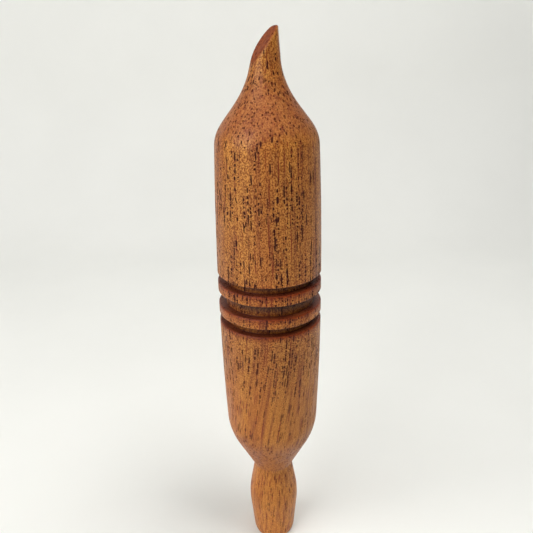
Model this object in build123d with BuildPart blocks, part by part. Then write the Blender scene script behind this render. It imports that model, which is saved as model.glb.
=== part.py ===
from build123d import *
from math import cos, radians, sin
import os

# Leather edge slicker turned from one piece of open-pored hardwood.
#
# The tool is a single turned stick: a small waisted foot that it stands on, a slightly
# swelled barrel with three burnishing grooves round its middle, and a thin neck whose
# end is cut away on one side into a beak. The turning axis is Z, the origin is the
# centre of the foot's face, and +Z points to the beak. Sizes are in millimetres and
# degrees.

# Foot: a small waisted knob with a flat face
foot_radius = 5.45
foot_edge_rounding = 1.2
belly_height, belly_radius = 13.7, 6.8
belly_rounding = 22.0
waist_height, waist_radius = 23.7, 5.05

# Barrel: widest at its middle, with a rounded shoulder at each end
barrel_bottom, barrel_top = 36.4, 113.0
barrel_radius = 12.5
barrel_end_radius = 11.6
lower_shoulder_rounding = 15.5
upper_shoulder_rounding = 11.0

# Neck: the thin end above the upper shoulder, before the beak is cut
neck_height, neck_radius = 123.5, 3.6
neck_rounding = 17.5
tip_height, tip_radius = 136.0, 2.7

# Burnishing grooves: square, a wide one between two narrow ones
middle_groove_width = 3.2
outer_groove_width = 2.0
bead_width = 2.5
groove_depth = 1.85
upper_lip_rounding = 0.15
lower_lip_rounding = 0.4

# Beak: a crowned facet that leans across the end of the neck
facet_height = 132.2  # where the facet crosses the turning axis
facet_lean = 37.9  # from the axis
facet_crown_radius = 42.0
facet_heading = 202.0  # the way it faces, counter-clockwise from +X seen from above
facet_edge_rounding = 0.4

barrel_middle = (barrel_bottom + barrel_top) / 2
groove_floor_radius = barrel_radius - groove_depth
outer_groove_offset = (middle_groove_width + outer_groove_width) / 2 + bead_width
grooves = [
    (barrel_middle - outer_groove_offset, outer_groove_width),
    (barrel_middle, middle_groove_width),
    (barrel_middle + outer_groove_offset, outer_groove_width),
]

# The facet's plane of symmetry: X points the way the facet faces, Y points up
facet_direction = Vector(cos(radians(facet_heading)), sin(radians(facet_heading)), 0)
facet_plane = Plane(
    origin=(0, 0, facet_height),
    x_dir=facet_direction,
    z_dir=facet_direction.cross(Vector(0, 0, 1)),
)
facet_crown_centre = (
    -facet_crown_radius * cos(radians(facet_lean)),
    -facet_crown_radius * sin(radians(facet_lean)),
)
facet_cut_size = 15.0

# Corners of the turned half section, as (radius, height)
corner_roundings = [
    ((foot_radius, 0), foot_edge_rounding),
    ((belly_radius, belly_height), belly_rounding),
    ((barrel_end_radius, barrel_bottom), lower_shoulder_rounding),
    ((barrel_end_radius, barrel_top), upper_shoulder_rounding),
    ((neck_radius, neck_height), neck_rounding),
]
for height, width in grooves:
    corner_roundings += [
        ((barrel_radius, height + width / 2), upper_lip_rounding),
        ((barrel_radius, height - width / 2), lower_lip_rounding),
    ]

with BuildPart() as slicker_body:
    # The turned stick, from a half section with the grooves cut into its edge
    with BuildSketch(Plane.XZ) as half_section:
        with BuildLine():
            Polyline(
                (barrel_end_radius, barrel_bottom),
                (waist_radius, waist_height),
                (belly_radius, belly_height),
                (foot_radius, 0),
                (0, 0),
                (0, tip_height),
                (tip_radius, tip_height),
                (neck_radius, neck_height),
                (barrel_end_radius, barrel_top),
            )
            ThreePointArc(
                (barrel_end_radius, barrel_top),
                (barrel_radius, barrel_middle),
                (barrel_end_radius, barrel_bottom),
            )
        make_face()
        for height, width in grooves:
            with Locations((groove_floor_radius, height)):
                Rectangle(
                    2 * groove_depth,
                    width,
                    align=(Align.MIN, Align.CENTER),
                    mode=Mode.SUBTRACT,
                )
        for corner, rounding in corner_roundings:
            nearest = half_section.vertices().sort_by_distance(corner)[0]
            fillet(nearest, radius=rounding)
    revolve(axis=Axis.Z)

    # The beak: the end of the neck outside the facet's crown is cut away
    with BuildSketch(facet_plane):
        Rectangle(facet_cut_size, facet_cut_size)
        with Locations(facet_crown_centre):
            Circle(facet_crown_radius, mode=Mode.SUBTRACT)
    extrude(amount=facet_cut_size / 2, both=True, mode=Mode.SUBTRACT)
    facet = slicker_body.faces().filter_by(GeomType.CYLINDER).sort_by(Axis.Z)[-1]
    fillet(facet.edges(), radius=facet_edge_rounding)

slicker_body.part.label = "slicker_body"
os.makedirs("parts", exist_ok=True)
export_step(slicker_body.part, "parts/slicker_body.step")
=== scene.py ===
"""Looks of the turned leather edge slicker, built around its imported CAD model.

The visible tool is one mesh, because the real one is one piece of wood: rings of vertices
up the turning axis, shaped as the gouge left them, with the beak's facet cut through the
neck. Its material is a solid block of open-pored hardwood, so that the vessels show as
long streaks on the barrel and as short dots where the surface cuts across the grain.
Lengths are in millimetres here and turned into metres where Blender needs them.
"""

from math import cos, pi, radians, sin

import bpy
import numpy as np
from mathutils import Matrix, Vector, noise


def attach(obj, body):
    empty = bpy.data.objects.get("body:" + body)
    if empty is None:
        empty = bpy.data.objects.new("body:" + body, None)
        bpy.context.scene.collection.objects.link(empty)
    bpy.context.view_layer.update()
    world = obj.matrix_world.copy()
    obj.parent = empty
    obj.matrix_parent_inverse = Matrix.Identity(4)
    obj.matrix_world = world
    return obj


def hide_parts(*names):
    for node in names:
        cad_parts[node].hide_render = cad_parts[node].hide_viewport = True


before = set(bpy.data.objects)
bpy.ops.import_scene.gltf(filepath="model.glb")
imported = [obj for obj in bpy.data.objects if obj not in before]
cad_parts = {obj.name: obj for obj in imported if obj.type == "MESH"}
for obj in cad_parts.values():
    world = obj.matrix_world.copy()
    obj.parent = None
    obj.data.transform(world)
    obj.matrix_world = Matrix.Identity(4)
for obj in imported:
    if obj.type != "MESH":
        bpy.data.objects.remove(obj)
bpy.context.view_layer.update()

MM = 0.001
IN_MM = (1000.0, 1000.0, 1000.0)  # turns a place in metres into millimetres

# Foot
foot_radius = 5.45
foot_edge_rounding = 1.2
belly_height, belly_radius = 13.7, 6.8
waist_height, waist_radius = 23.7, 5.05

# Barrel
barrel_bottom, barrel_top = 36.4, 113.0
barrel_middle = (barrel_bottom + barrel_top) / 2
barrel_radius, barrel_end_radius = 12.5, 11.6

# Neck
neck_height, neck_radius = 123.5, 3.6
tip_height, tip_radius = 136.0, 2.7

# How far each rounded corner is spread, measured along the radius
belly_blend = 0.85
waist_blend = 0.06
lower_shoulder_blend = 1.75
upper_shoulder_blend = 1.75
neck_blend = 3.3

# Burnishing grooves
middle_groove_width, outer_groove_width = 3.2, 2.0
bead_width = 2.5
groove_depth = 1.85
upper_lip_rounding, lower_lip_rounding = 0.15, 0.4
floor_corner_rounding = 0.12
lip_scorch = 2.0  # how far down the wood under a groove is scorched
floor_radius = barrel_radius - groove_depth
outer_groove_offset = (middle_groove_width + outer_groove_width) / 2 + bead_width
grooves = [
    (barrel_middle - outer_groove_offset, outer_groove_width),
    (barrel_middle, middle_groove_width),
    (barrel_middle + outer_groove_offset, outer_groove_width),
]

# Beak
facet_height, facet_lean = 132.2, radians(37.9)
facet_crown_radius = 42.0
facet_heading = radians(202.0)
facet_rim_blend = 0.7
point_height, point_blend = 134.9, 0.6
beak_bottom = 124.0
beak_ring_count = 64
bisections = 40  # halvings in each search for the beak's surface

segments = 240  # vertices in a ring
ring_step = 0.5  # between rings on the plain surfaces

# Unevenness of the hand work, as the largest push from the true shape
unevenness, fine_unevenness, edge_unevenness = 0.05, 0.012, 0.07

# Wood colours
golden_wood = (0.425, 0.163, 0.027, 1)
reddish_wood = (0.38, 0.127, 0.021, 1)
streak_wood = (0.2, 0.048, 0.012, 1)
fibre_wood = (0.42, 0.36, 0.3, 1)
dark_fleck, pale_fleck = (0.52, 0.35, 0.25, 1), (1.48, 1.7, 2.1, 1)
vessel_wood = (0.17, 0.02, 0.005, 1)
pore_wood = (0.03, 0.001, 0.0005, 1)
# Darker and redder for end grain, with a bluish lift that is a painted sheen
end_grain_and_sheen_tint = (0.82, 0.74, 1.12, 1)
# Painted light: brightens the lower tool towards the foot
foot_painted_light_tint = (1.33, 1.33, 1.3, 1)
rubbed_tint = (1.0, 0.86, 0.7, 1)
lip_tint = (0.6, 0.33, 0.2, 1)
shelf_wood = (0.115, 0.022, 0.009, 1)
# Partly stain, partly painted shade of the deep groove floors
floor_stain_and_shade_tint = (0.5, 0.44, 0.4, 1)
# Partly soot, partly painted shade under the grooves' upper lips
soot_and_shade_wood = (0.014, 0.005, 0.005, 1)
facet_dark, facet_pale = (0.12, 0.012, 0.002, 1), (0.24, 0.05, 0.008, 1)

# Grain: the heights where it bends and by how much, and how far it strays
grain_bends = ((32.0, 0.085), (64.0, -0.085))
bend_spread_squared = 80.0
grain_wander = 3.2

# Oil film
gloss_level = 0.29
film_smooth, film_dull = 0.36, 0.5
shelf_polish, facet_dullness, pore_dullness = 0.06, 0.35, 0.35

# Relief: its depth, and the share of it that each part of the surface takes
relief_depth = 0.06
fibre_relief, ring_relief, fleck_relief, pore_relief = 0.16, 0.1, 0.1, 0.9

# Stage
floor_reach = 3000.0
sweep_start, sweep_radius = 225.0, 110.0
paper_dark, paper_pale = (0.848, 0.85, 0.828, 1), (0.868, 0.87, 0.848, 1)
window_power, lamp_power, skylight_power = 2.55, 1.2, 0.15
light_colour = (1.0, 0.99, 0.96)
sky_colour = (0.98, 1.0, 0.99, 1)
horizon_strength, zenith_strength = 0.06, 0.36
surround_strength, far_glow = 0.8, 0.6  # seen by the camera only, so they light nothing
glow_start, glow_end = 400.0, 800.0

# Camera
camera_distance, camera_height = 125.6, 130.6
camera_pitch, camera_turn, camera_roll = radians(21.44), radians(-0.31), radians(-1.25)
lens_length, sensor_width = 37.82, 36.0


def soft_min(a, b, blend):
    """The smaller of a and b, rounded where they meet."""
    near = np.clip(blend - np.abs(a - b), 0, None) / blend
    return np.minimum(a, b) - near**2 * blend / 4


def soft_max(a, b, blend):
    """The larger of a and b, rounded where they meet."""
    return -soft_min(-a, -b, blend)


def line(z, low, high):
    """Radius at height z on the straight line through two (radius, height) points."""
    return low[0] + (high[0] - low[0]) * (z - low[1]) / (high[1] - low[1])


def turned_radius(z):
    """Radius of the turned stick at height z, without its grooves and its facet."""
    z = np.asarray(z, float)
    flare = line(z, (foot_radius, 0), (belly_radius, belly_height))
    taper = line(z, (belly_radius, belly_height), (waist_radius, waist_height))
    foot = soft_min(flare, taper, belly_blend)
    cone = line(z, (waist_radius, waist_height), (barrel_end_radius, barrel_bottom))
    along = (z - barrel_middle) / (barrel_top - barrel_middle)
    barrel = barrel_radius - (barrel_radius - barrel_end_radius) * along**2
    shoulder = line(z, (barrel_end_radius, barrel_top), (neck_radius, neck_height))
    neck = line(z, (neck_radius, neck_height), (tip_radius, tip_height))
    lower = soft_max(foot, soft_min(cone, barrel, lower_shoulder_blend), waist_blend)
    upper = soft_max(soft_min(barrel, shoulder, upper_shoulder_blend), neck, neck_blend)
    return np.where(z < barrel_middle, lower, upper)


def quarter(centre, radius, start, turn, steps=5):
    """Points of a quarter circle in the half section, from an angle above the radius."""
    angles = start + turn * np.linspace(0, 1, steps) * pi / 2
    return [(centre[0] + radius * cos(a), centre[1] + radius * sin(a)) for a in angles]


def straight(a, b, step=ring_step, support=0.04):
    """Points between a and b, with one close to each end to keep the corners crisp."""
    a, b = np.array(a), np.array(b)
    length = np.hypot(*(b - a))
    inner = np.linspace(0, 1, max(int(length / step), 1) + 1)[1:-1]
    shares = [support / length, *inner, 1 - support / length]
    return [tuple(a + (b - a) * share) for share in shares if 0 < share < 1]


def up_the_barrel(low, high):
    """Points of the turned surface between two heights."""
    heights = np.linspace(low, high, max(int((high - low) / ring_step), 2) + 1)
    return list(zip(turned_radius(heights), heights))


def groove_section(height, width):
    """Points down into a groove, up its floor and out again."""
    low, high = height - width / 2, height + width / 2
    outer_low = float(turned_radius(low - lower_lip_rounding))
    outer_high = float(turned_radius(high + upper_lip_rounding))
    corner = floor_corner_rounding
    low_centre = (outer_low - lower_lip_rounding, low - lower_lip_rounding)
    high_centre = (outer_high - upper_lip_rounding, high + upper_lip_rounding)
    lower_lip = quarter(low_centre, lower_lip_rounding, 0, 1)
    lower_corner = quarter((floor_radius + corner, low + corner), corner, -pi / 2, -1)
    upper_corner = quarter((floor_radius + corner, high - corner), corner, pi, -1)
    upper_lip = quarter(high_centre, upper_lip_rounding, -pi / 2, 1)
    return [
        *lower_lip,
        *straight(lower_lip[-1], lower_corner[0]),
        *lower_corner,
        *straight(lower_corner[-1], upper_corner[0]),
        *upper_corner,
        *straight(upper_corner[-1], upper_lip[0]),
        *upper_lip,
    ]


def half_section():
    """(radius, height) of every ring from the foot's face up to the foot of the beak."""
    edge = foot_edge_rounding
    flat = foot_radius - edge
    points = [(flat * share, 0.0) for share in (0.25, 0.5, 0.75, 0.99)]
    points += quarter((flat, edge), edge, -pi / 2, 1, steps=9)
    start = edge
    for height, width in grooves:
        low, high = height - width / 2, height + width / 2
        points += up_the_barrel(start, low - lower_lip_rounding)[1:-1]
        points += groove_section(height, width)
        start = high + upper_lip_rounding
    points += up_the_barrel(start, beak_bottom)[1:-1]
    return np.array(points)


# ---------------------------------------------------------------- the beak

facing = np.array([cos(facet_heading), sin(facet_heading)])
crown_offset = -facet_crown_radius * cos(facet_lean)
crown_height = facet_height - facet_crown_radius * sin(facet_lean)


def beak_depth(x, y, z):
    """Below 0 inside the neck and behind the facet, with the facet's rim rounded."""
    round_neck = np.hypot(x, y) - turned_radius(z)
    facet = np.hypot(x * facing[0] + y * facing[1] - crown_offset, z - crown_height)
    beak = soft_max(round_neck, facet - facet_crown_radius, facet_rim_blend)
    return soft_max(beak, z - point_height, point_blend)


def middle_of_section(z):
    """Where the section at height z has its middle, measured the way the facet faces."""
    neck = turned_radius(z)
    drop = facet_crown_radius**2 - (z - crown_height) ** 2
    facet = crown_offset + np.sqrt(np.maximum(drop, 0))
    return (np.minimum(neck, facet) - neck) / 2


def beak_rings(angles):
    """Rings from the foot of the beak up to its point, as an array of x, y and z."""
    low, high = facet_height, tip_height
    for _ in range(bisections):
        z = (low + high) / 2
        middle = middle_of_section(z) * facing
        inside = beak_depth(middle[0], middle[1], z) < 0
        low, high = (z, high) if inside else (low, z)
    share = np.sin(np.linspace(0, pi / 2, beak_ring_count))[:-1]
    z = (beak_bottom + (low - beak_bottom) * share)[:, None] + 0 * angles
    centre = middle_of_section(z)
    near, far = np.zeros_like(z), np.full_like(z, 2 * neck_radius)
    for _ in range(bisections):
        reach = (near + far) / 2
        x = centre * facing[0] + reach * np.cos(angles)
        y = centre * facing[1] + reach * np.sin(angles)
        inside = beak_depth(x, y, z) < 0
        near, far = np.where(inside, reach, near), np.where(inside, far, reach)
    point = middle_of_section(low) * facing
    return np.stack([x, y, z], axis=-1), np.array([point[0], point[1], low])


def by_hand(points):
    """The same points, in millimetres, a little uneven as a hand-held gouge leaves them."""
    worked = []
    for x, y, z in points.tolist():
        broad = noise.noise(Vector((x / 9, y / 9, z / 14)))
        fine = noise.noise(Vector((x / 2.5, y / 2.5, z / 4 + 40)))
        edge = noise.noise(Vector((x / 5, y / 5, z / 30 + 80)))
        swell = 1 + (unevenness * broad + fine_unevenness * fine) / barrel_radius
        worked.append((x * swell, y * swell, z + edge_unevenness * edge * min(z, 1)))
    return np.array(worked)


def wood_mesh():
    """The whole tool as one closed mesh of rings, in metres."""
    angles = np.linspace(0, 2 * pi, segments, endpoint=False)
    section = half_section()
    around = np.stack([np.cos(angles), np.sin(angles)], axis=-1)
    heights = np.broadcast_to(section[:, 1, None, None], (len(section), segments, 1))
    turned = np.concatenate([section[:, 0, None, None] * around, heights], axis=-1)
    beak, point = beak_rings(angles)
    rings = np.concatenate([turned, beak])
    points = np.concatenate([rings.reshape(-1, 3), [(0, 0, 0), point]])
    bottom, top = len(points) - 2, len(points) - 1
    here = np.arange(segments)
    after = np.roll(here, -1)
    faces = []
    for first in range(0, bottom - segments, segments):
        above = first + segments
        quads = np.stack([here + first, after + first, after + above, here + above], axis=-1)
        faces += quads.tolist()
    last = bottom - segments
    faces += [(bottom, int(b), int(a)) for a, b in zip(here, after)]
    faces += [(last + int(a), last + int(b), top) for a, b in zip(here, after)]
    mesh = bpy.data.meshes.new("turned_wood")
    mesh.from_pydata((by_hand(points) * MM).tolist(), [], faces)
    depth = turned_radius(points[:, 2]) - np.hypot(points[:, 0], points[:, 1])
    on_foot_face = points[:, 2] < foot_edge_rounding
    cut = mesh.attributes.new("cut_depth", "FLOAT", "POINT")
    cut.data.foreach_set("value", np.where(on_foot_face, 0, depth).astype(np.float32))
    rise = np.zeros(len(points))
    for height, width in grooves:
        share = (points[:, 2] - height) / width + 0.5
        rise = np.where((share > 0) & (share < 1), share, rise)
    under = mesh.attributes.new("groove_rise", "FLOAT", "POINT")
    under.data.foreach_set("value", rise.astype(np.float32))
    mesh.update()
    mesh.shade_smooth()
    return mesh


wood = bpy.data.objects.new("turned_wood", wood_mesh())
bpy.context.scene.collection.objects.link(wood)
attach(wood, "root")
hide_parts("slicker_body")


# ---------------------------------------------------------------- materials


class Shader:
    """A material, with short calls for laying out its nodes."""

    def __init__(self, name):
        self.material = bpy.data.materials.new(name)
        self.material.use_nodes = True
        self.tree = self.material.node_tree
        self.surface = self.tree.nodes["Principled BSDF"]

    def feed(self, socket, value):
        if isinstance(value, bpy.types.NodeSocket):
            self.tree.links.new(value, socket)
        else:
            socket.default_value = value

    def node(self, kind, inputs=(), **settings):
        made = self.tree.nodes.new(kind)
        for name, value in settings.items():
            setattr(made, name, value)
        for name, value in dict(inputs).items():
            self.feed(made.inputs[name], value)
        return made

    def math(self, operation, *values):
        made = self.node("ShaderNodeMath", operation=operation)
        for socket, value in zip(made.inputs, values):
            self.feed(socket, value)
        return made.outputs[0]

    def product(self, *values):
        result = values[0]
        for value in values[1:]:
            result = self.math("MULTIPLY", result, value)
        return result

    def vector(self, operation, *values):
        made = self.node("ShaderNodeVectorMath", operation=operation)
        for socket, value in zip(made.inputs, values):
            self.feed(socket, value)
        return made.outputs[0]

    def join(self, x, y, z):
        return self.node("ShaderNodeCombineXYZ", {"X": x, "Y": y, "Z": z}).outputs[0]

    def split(self, vector):
        return self.node("ShaderNodeSeparateXYZ", {"Vector": vector}).outputs

    def ease(self, value, low, high, start=0.0, end=1.0):
        """Goes smoothly from start, where the value is low, to end, where it is high."""
        ends = {"From Min": low, "From Max": high, "To Min": start, "To Max": end}
        made = self.node("ShaderNodeMapRange", ends, interpolation_type="SMOOTHSTEP")
        self.feed(made.inputs["Value"], value)
        return made.outputs["Result"]

    def mix(self, share, a, b, blend="MIX"):
        made = self.node("ShaderNodeMix", data_type="RGBA", blend_type=blend)
        for index, value in ((0, share), (6, a), (7, b)):
            self.feed(made.inputs[index], value)
        return made.outputs[2]

    def stretched(self, place, size):
        return self.vector("DIVIDE", place, size)

    def noise(self, place, size, detail=2.0, roughness=0.5):
        """Noise from 0 to 1 whose lumps are about as big as the given size."""
        inputs = {"Scale": 1.0, "Detail": detail, "Roughness": roughness}
        made = self.node("ShaderNodeTexNoise", inputs)
        self.feed(made.inputs["Vector"], self.stretched(place, size))
        return made

    def cells(self, place, size):
        """Distance to the middle of the nearest cell, and that cell's random numbers."""
        made = self.node("ShaderNodeTexVoronoi", {"Scale": 1.0, "Randomness": 1.0})
        self.feed(made.inputs["Vector"], self.stretched(place, size))
        return made.outputs["Distance"], self.split(made.outputs["Color"])


def grey(value):
    return (value, value, value, 1.0)


def hardwood():
    """Open-pored reddish golden hardwood with an oiled, hand-rubbed surface."""
    s = Shader("oiled_hardwood")
    here = s.node("ShaderNodeTexCoord")
    place = s.vector("MULTIPLY", here.outputs["Object"], IN_MM)
    x, y, z = s.split(place)

    # The grain runs up the tool, wanders a little, and leans over in the lower barrel
    lean = 0.0
    for height, slope in grain_bends:
        above = s.math("SUBTRACT", z, height)
        bend = s.math("SQRT", s.math("MULTIPLY_ADD", above, above, bend_spread_squared))
        lean = s.math("MULTIPLY_ADD", bend, slope, lean)
    wander = s.noise(place, (22.0, 22.0, 60.0), detail=1.0).outputs["Color"]
    wander = s.vector("SUBTRACT", wander, (0.5, 0.5, 0.5))
    wander = s.vector("MULTIPLY", wander, (grain_wander, grain_wander, 0.0))
    grain = s.vector("ADD", wander, s.join(s.math("SUBTRACT", x, lean), y, z))

    # Broad stripes of gold and reddish brown, and the fibres' fine streaks
    stripes = s.noise(grain, (3.4, 3.4, 70.0), detail=3.0, roughness=0.55).outputs["Fac"]
    ribbons = s.noise(grain, (10.0, 10.0, 150.0), detail=1.0).outputs["Fac"]
    tone = s.math("ADD", s.product(stripes, 0.65), s.product(ribbons, 0.35))
    colour = s.mix(s.ease(tone, 0.34, 0.6), reddish_wood, golden_wood)
    streaks = s.noise(grain, (0.8, 0.8, 24.0), detail=1.0).outputs["Fac"]
    colour = s.mix(s.ease(streaks, 0.48, 0.7, 0.0, 0.6), colour, streak_wood)
    fibres = s.noise(grain, (0.28, 0.28, 2.6), detail=2.0, roughness=0.6).outputs["Fac"]
    flecks = s.noise(place, (0.3, 0.3, 0.38), detail=2.0, roughness=0.65).outputs["Fac"]
    colour = s.mix(s.ease(fibres, 0.3, 0.7, 0.0, 0.75), colour, fibre_wood, "OVERLAY")
    fleck = s.mix(s.ease(flecks, 0.38, 0.62), dark_fleck, pale_fleck)
    steep = s.math("ABSOLUTE", s.split(here.outputs["Normal"])[2])
    flecked = s.product(s.ease(z, 45.0, 70.0, 0.3, 1.0), s.ease(steep, 0.15, 0.5, 1.0, 0.5))
    colour = s.mix(flecked, colour, fleck, "MULTIPLY")

    # Vessels in chains of open pores along reddish lines, and short single pores
    distance, chance = s.cells(grain, (0.48, 0.48, 21.0))
    beads_at = s.join(s.product(chance[0], 70.0), s.product(chance[1], 70.0), z)
    beads = s.noise(beads_at, (1.0, 1.0, 0.75), detail=1.0).outputs["Fac"]
    runs = s.noise(beads_at, (1.0, 1.0, 6.0), detail=0.0).outputs["Fac"]
    run = s.math("ADD", s.product(runs, 0.6), s.product(chance[2], 0.4))
    reach = s.product(s.ease(beads, 0.44, 0.6), s.ease(run, 0.41, 0.53), 0.48)
    chain = s.math("SUBTRACT", s.math("ADD", reach, 0.02), distance)
    chain = s.ease(chain, -0.05, 0.04)
    vessel_line = s.product(s.ease(distance, 0.18, 0.46, 1.0, 0.0), s.ease(chance[0], 0.1, 0.7))
    single_distance, single_chance = s.cells(grain, (0.55, 0.55, 4.2))
    single_reach = s.ease(single_chance[0], 0.58, 1.0, 0.0, 0.38)
    single = s.ease(s.math("SUBTRACT", single_reach, single_distance), -0.05, 0.07)
    pores = s.product(s.math("MAXIMUM", chain, single), s.ease(z, 25.0, 85.0, 0.45, 1.0))
    colour = s.mix(s.product(vessel_line, 0.82), colour, vessel_wood)

    # End grain drinks more oil and is darker and redder, under a painted sheen; the lower tool is
    # painted paler as painted light
    # Steep faces: real end-grain darkening plus a painted pale pinkish sheen
    end_grain_and_sheen = s.ease(steep, 0.12, 0.6)
    colour = s.mix(s.product(end_grain_and_sheen, 0.85), colour, s.mix(1.0, colour, end_grain_and_sheen_tint, "MULTIPLY"))
    # Painted light: paler towards the foot, standing in for the brighter light near the floor
    painted_light_low = s.mix(s.ease(z, 10.0, 75.0), foot_painted_light_tint, grey(1.0))
    colour = s.mix(1.0, colour, painted_light_low, "MULTIPLY")

    # The beads between the grooves are rubbed to a deeper orange
    off_middle = s.math("ABSOLUTE", s.math("SUBTRACT", z, barrel_middle))
    rubbed = s.ease(off_middle, 5.5, 8.0, 0.8, 0.0)
    colour = s.mix(rubbed, colour, rubbed_tint, "MULTIPLY")

    # The upper edge of the wood under each groove is scorched reddish by the rubbing
    scorched = 0.0
    for height, width in grooves:
        low = height - width / 2
        under_groove = s.math("LESS_THAN", z, low + 0.01)
        edge = s.product(s.ease(z, low - lip_scorch, low), under_groove)
        scorched = s.math("ADD", scorched, edge)
    colour = s.mix(scorched, colour, s.mix(1.0, colour, lip_tint, "MULTIPLY"))

    # Grooves are burnished reddish on the shelves, and their floors are darkened partly by stain
    # and soot, partly by painted shade
    cut = s.node("ShaderNodeAttribute", attribute_name="cut_depth").outputs["Fac"]
    in_barrel = s.math("LESS_THAN", z, barrel_top)
    shelf = s.product(s.ease(cut, 0.02, 0.5), s.ease(steep, 0.3, 0.8), in_barrel)
    # The deep groove floors are darkened all over: partly stain, partly painted shade of the
    # recess
    floor_stain_and_shade = s.product(s.ease(cut, 1.2, 1.8), in_barrel)
    rise = s.node("ShaderNodeAttribute", attribute_name="groove_rise").outputs["Fac"]
    # Darker up each floor towards the upper lip: partly soot, partly painted shade under the lip
    soot_and_shade = s.product(s.ease(cut, 0.3, 1.6), s.ease(rise, 0.1, 0.9))
    colour = s.mix(s.product(shelf, 0.8), colour, shelf_wood)
    colour = s.mix(s.product(floor_stain_and_shade, 0.65), colour, s.mix(1.0, colour, floor_stain_and_shade_tint, "MULTIPLY"))
    colour = s.mix(s.product(soot_and_shade, 0.95), colour, soot_and_shade_wood)
    facet = s.product(s.ease(cut, 0.05, 0.4), s.math("GREATER_THAN", z, barrel_top))
    blotches = s.noise(place, (0.9, 0.9, 0.9), detail=2.0).outputs["Fac"]
    facet_wood = s.mix(s.ease(blotches, 0.35, 0.65), facet_dark, facet_pale)
    colour = s.mix(s.product(facet, 0.85), colour, facet_wood)
    colour = s.mix(s.product(pores, s.ease(steep, 0.2, 0.8, 0.97, 0.55)), colour, pore_wood)

    # Slow changes of tone from handling
    wear = s.noise(place, (16.0, 16.0, 24.0), detail=2.0).outputs["Fac"]
    worn = s.mix(s.ease(wear, 0.3, 0.7), grey(0.9), grey(1.08))
    colour = s.mix(1.0, colour, worn, "MULTIPLY")
    s.feed(s.surface.inputs["Base Color"], colour)

    # Satin oil film: patchy, dull in the pores and on the facet, smoother where leather rubs
    film = s.noise(place, (2.2, 2.2, 5.0), detail=3.0).outputs["Fac"]
    roughness = s.ease(film, 0.3, 0.7, film_smooth, film_dull)
    roughness = s.math("SUBTRACT", roughness, s.product(shelf, shelf_polish))
    roughness = s.math("ADD", roughness, s.product(facet, facet_dullness))
    roughness = s.math("ADD", roughness, s.product(pores, pore_dullness))
    s.feed(s.surface.inputs["Roughness"], roughness)
    s.surface.inputs["Specular IOR Level"].default_value = gloss_level

    # Relief: sunk pores, raised fibres, and faint rings from turning and sanding
    rings = s.noise(place, (60.0, 60.0, 0.3), detail=2.0).outputs["Fac"]
    height = s.math("ADD", s.product(fibres, fibre_relief), s.product(rings, ring_relief))
    height = s.math("ADD", height, s.product(flecks, fleck_relief))
    height = s.math("SUBTRACT", height, s.product(pores, pore_relief))
    bump = {"Strength": 1.0, "Distance": relief_depth * MM, "Height": height}
    relief = s.node("ShaderNodeBump", bump)
    s.feed(s.surface.inputs["Normal"], relief.outputs[0])
    return s.material


wood.data.materials.append(hardwood())

# ---------------------------------------------------------------- stage


def backdrop_mesh():
    """A wide floor that curves up into a wall behind the tool."""
    steps = np.linspace(0, pi / 2, 49)
    profile = [(-floor_reach, 0.0), (0.0, 0.0)]
    profile += [(sweep_start + sweep_radius * sin(a), sweep_radius * (1 - cos(a))) for a in steps]
    profile.append((sweep_start + sweep_radius, floor_reach))
    points = [(side * floor_reach * MM, y * MM, z * MM) for y, z in profile for side in (-1, 1)]
    faces = [(2 * i, 2 * i + 1, 2 * i + 3, 2 * i + 2) for i in range(len(profile) - 1)]
    mesh = bpy.data.meshes.new("backdrop")
    mesh.from_pydata(points, [], faces)
    mesh.shade_smooth()
    return mesh


def paper():
    """Matt off-white paper, very slightly uneven, seen evenly pale where it is far off."""
    s = Shader("backdrop_paper")
    place = s.vector("MULTIPLY", s.node("ShaderNodeTexCoord").outputs["Object"], IN_MM)
    clouds = s.noise(place, (70.0, 70.0, 70.0), detail=3.0).outputs["Fac"]
    s.feed(s.surface.inputs["Base Color"], s.mix(s.ease(clouds, 0.3, 0.7), paper_dark, paper_pale))
    fibres = s.noise(place, (0.5, 0.5, 0.5), detail=3.0).outputs["Fac"]
    s.feed(s.surface.inputs["Roughness"], s.ease(fibres, 0.3, 0.7, 0.7, 0.8))
    s.surface.inputs["Specular IOR Level"].default_value = 0.2
    away = s.node("ShaderNodeVectorMath", {0: place}, operation="LENGTH").outputs["Value"]
    s.feed(s.surface.inputs["Emission Color"], sky_colour)
    glow = s.ease(away, glow_start, glow_end, 0.0, far_glow)
    seen = s.node("ShaderNodeLightPath").outputs["Is Camera Ray"]
    s.feed(s.surface.inputs["Emission Strength"], s.product(glow, seen))
    return s.material


def soft_light(name, place, target, size, power):
    """A square soft box that the camera doesn't see."""
    data = bpy.data.lights.new(name, "AREA")
    data.shape = "SQUARE"
    data.size = size * MM
    data.energy = power
    data.color = light_colour
    light = bpy.data.objects.new(name, data)
    bpy.context.scene.collection.objects.link(light)
    aim = (Vector(target) - Vector(place)).to_track_quat("-Z", "Y")
    light.matrix_world = Matrix.Translation(Vector(place) * MM) @ aim.to_matrix().to_4x4()
    light.visible_camera = False
    return light


backdrop = bpy.data.objects.new("backdrop", backdrop_mesh())
bpy.context.scene.collection.objects.link(backdrop)
backdrop.data.materials.append(paper())

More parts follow.
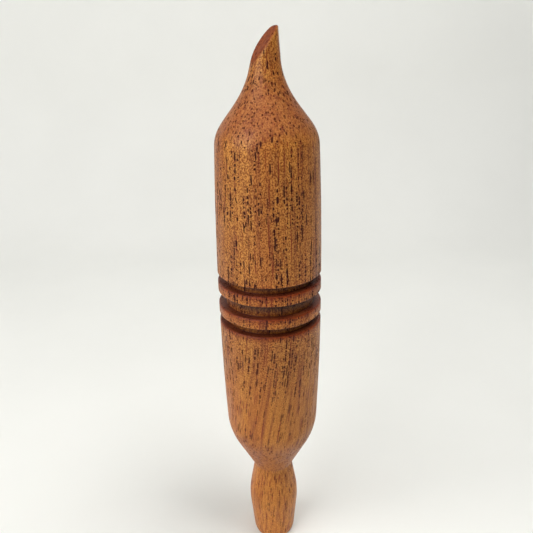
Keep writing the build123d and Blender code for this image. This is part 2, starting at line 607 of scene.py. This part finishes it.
soft_light("window", (-400, -290, 360), (0, 0, 70), 520, window_power)
lamp = soft_light("lamp", (140, -60, 490), (0, 0, 30), 200, lamp_power)
lamp.visible_glossy = False
soft_light("skylight", (-100, -230, 480), (0, 0, 100), 180, skylight_power)


def studio_world():
    """Faint light that grows upwards, with even pale surroundings for the camera alone."""
    world = bpy.data.worlds.new("studio")
    world.use_nodes = True
    tree = world.node_tree
    towards = tree.nodes.new("ShaderNodeTexCoord")
    split = tree.nodes.new("ShaderNodeSeparateXYZ")
    rising = tree.nodes.new("ShaderNodeMapRange")
    rising.inputs["From Min"].default_value = 0.0
    rising.inputs["To Min"].default_value = horizon_strength
    rising.inputs["To Max"].default_value = zenith_strength
    seen = tree.nodes.new("ShaderNodeLightPath")
    either = tree.nodes.new("ShaderNodeMix")
    either.inputs["B"].default_value = surround_strength
    background = tree.nodes["Background"]
    background.inputs["Color"].default_value = sky_colour
    tree.links.new(towards.outputs["Generated"], split.inputs[0])
    tree.links.new(split.outputs["Z"], rising.inputs["Value"])
    tree.links.new(seen.outputs["Is Camera Ray"], either.inputs["Factor"])
    tree.links.new(rising.outputs["Result"], either.inputs["A"])
    tree.links.new(either.outputs["Result"], background.inputs["Strength"])
    return world


bpy.context.scene.world = studio_world()
bpy.context.scene.view_settings.view_transform = "Standard"

# ---------------------------------------------------------------- camera


def axes_of_view(turn, pitch, roll):
    """The rotation of a camera that looks along +Y, turned, pitched down and rolled."""
    across = cos(pitch)
    forward = Vector((sin(turn) * across, cos(turn) * across, -sin(pitch)))
    right = forward.cross(Vector((0, 0, 1))).normalized()
    up = right.cross(forward)
    tilted_right = right * cos(roll) + up * sin(roll)
    tilted_up = up * cos(roll) - right * sin(roll)
    return Matrix((tilted_right, tilted_up, -forward)).transposed().to_4x4()


camera_data = bpy.data.cameras.new("camera")
camera_data.sensor_width = sensor_width
camera_data.lens = lens_length
camera_data.clip_start = 5 * MM
camera = bpy.data.objects.new("camera", camera_data)
bpy.context.scene.collection.objects.link(camera)
place = Matrix.Translation(Vector((0, -camera_distance, camera_height)) * MM)
camera.matrix_world = place @ axes_of_view(camera_turn, camera_pitch, camera_roll)
bpy.context.scene.camera = camera
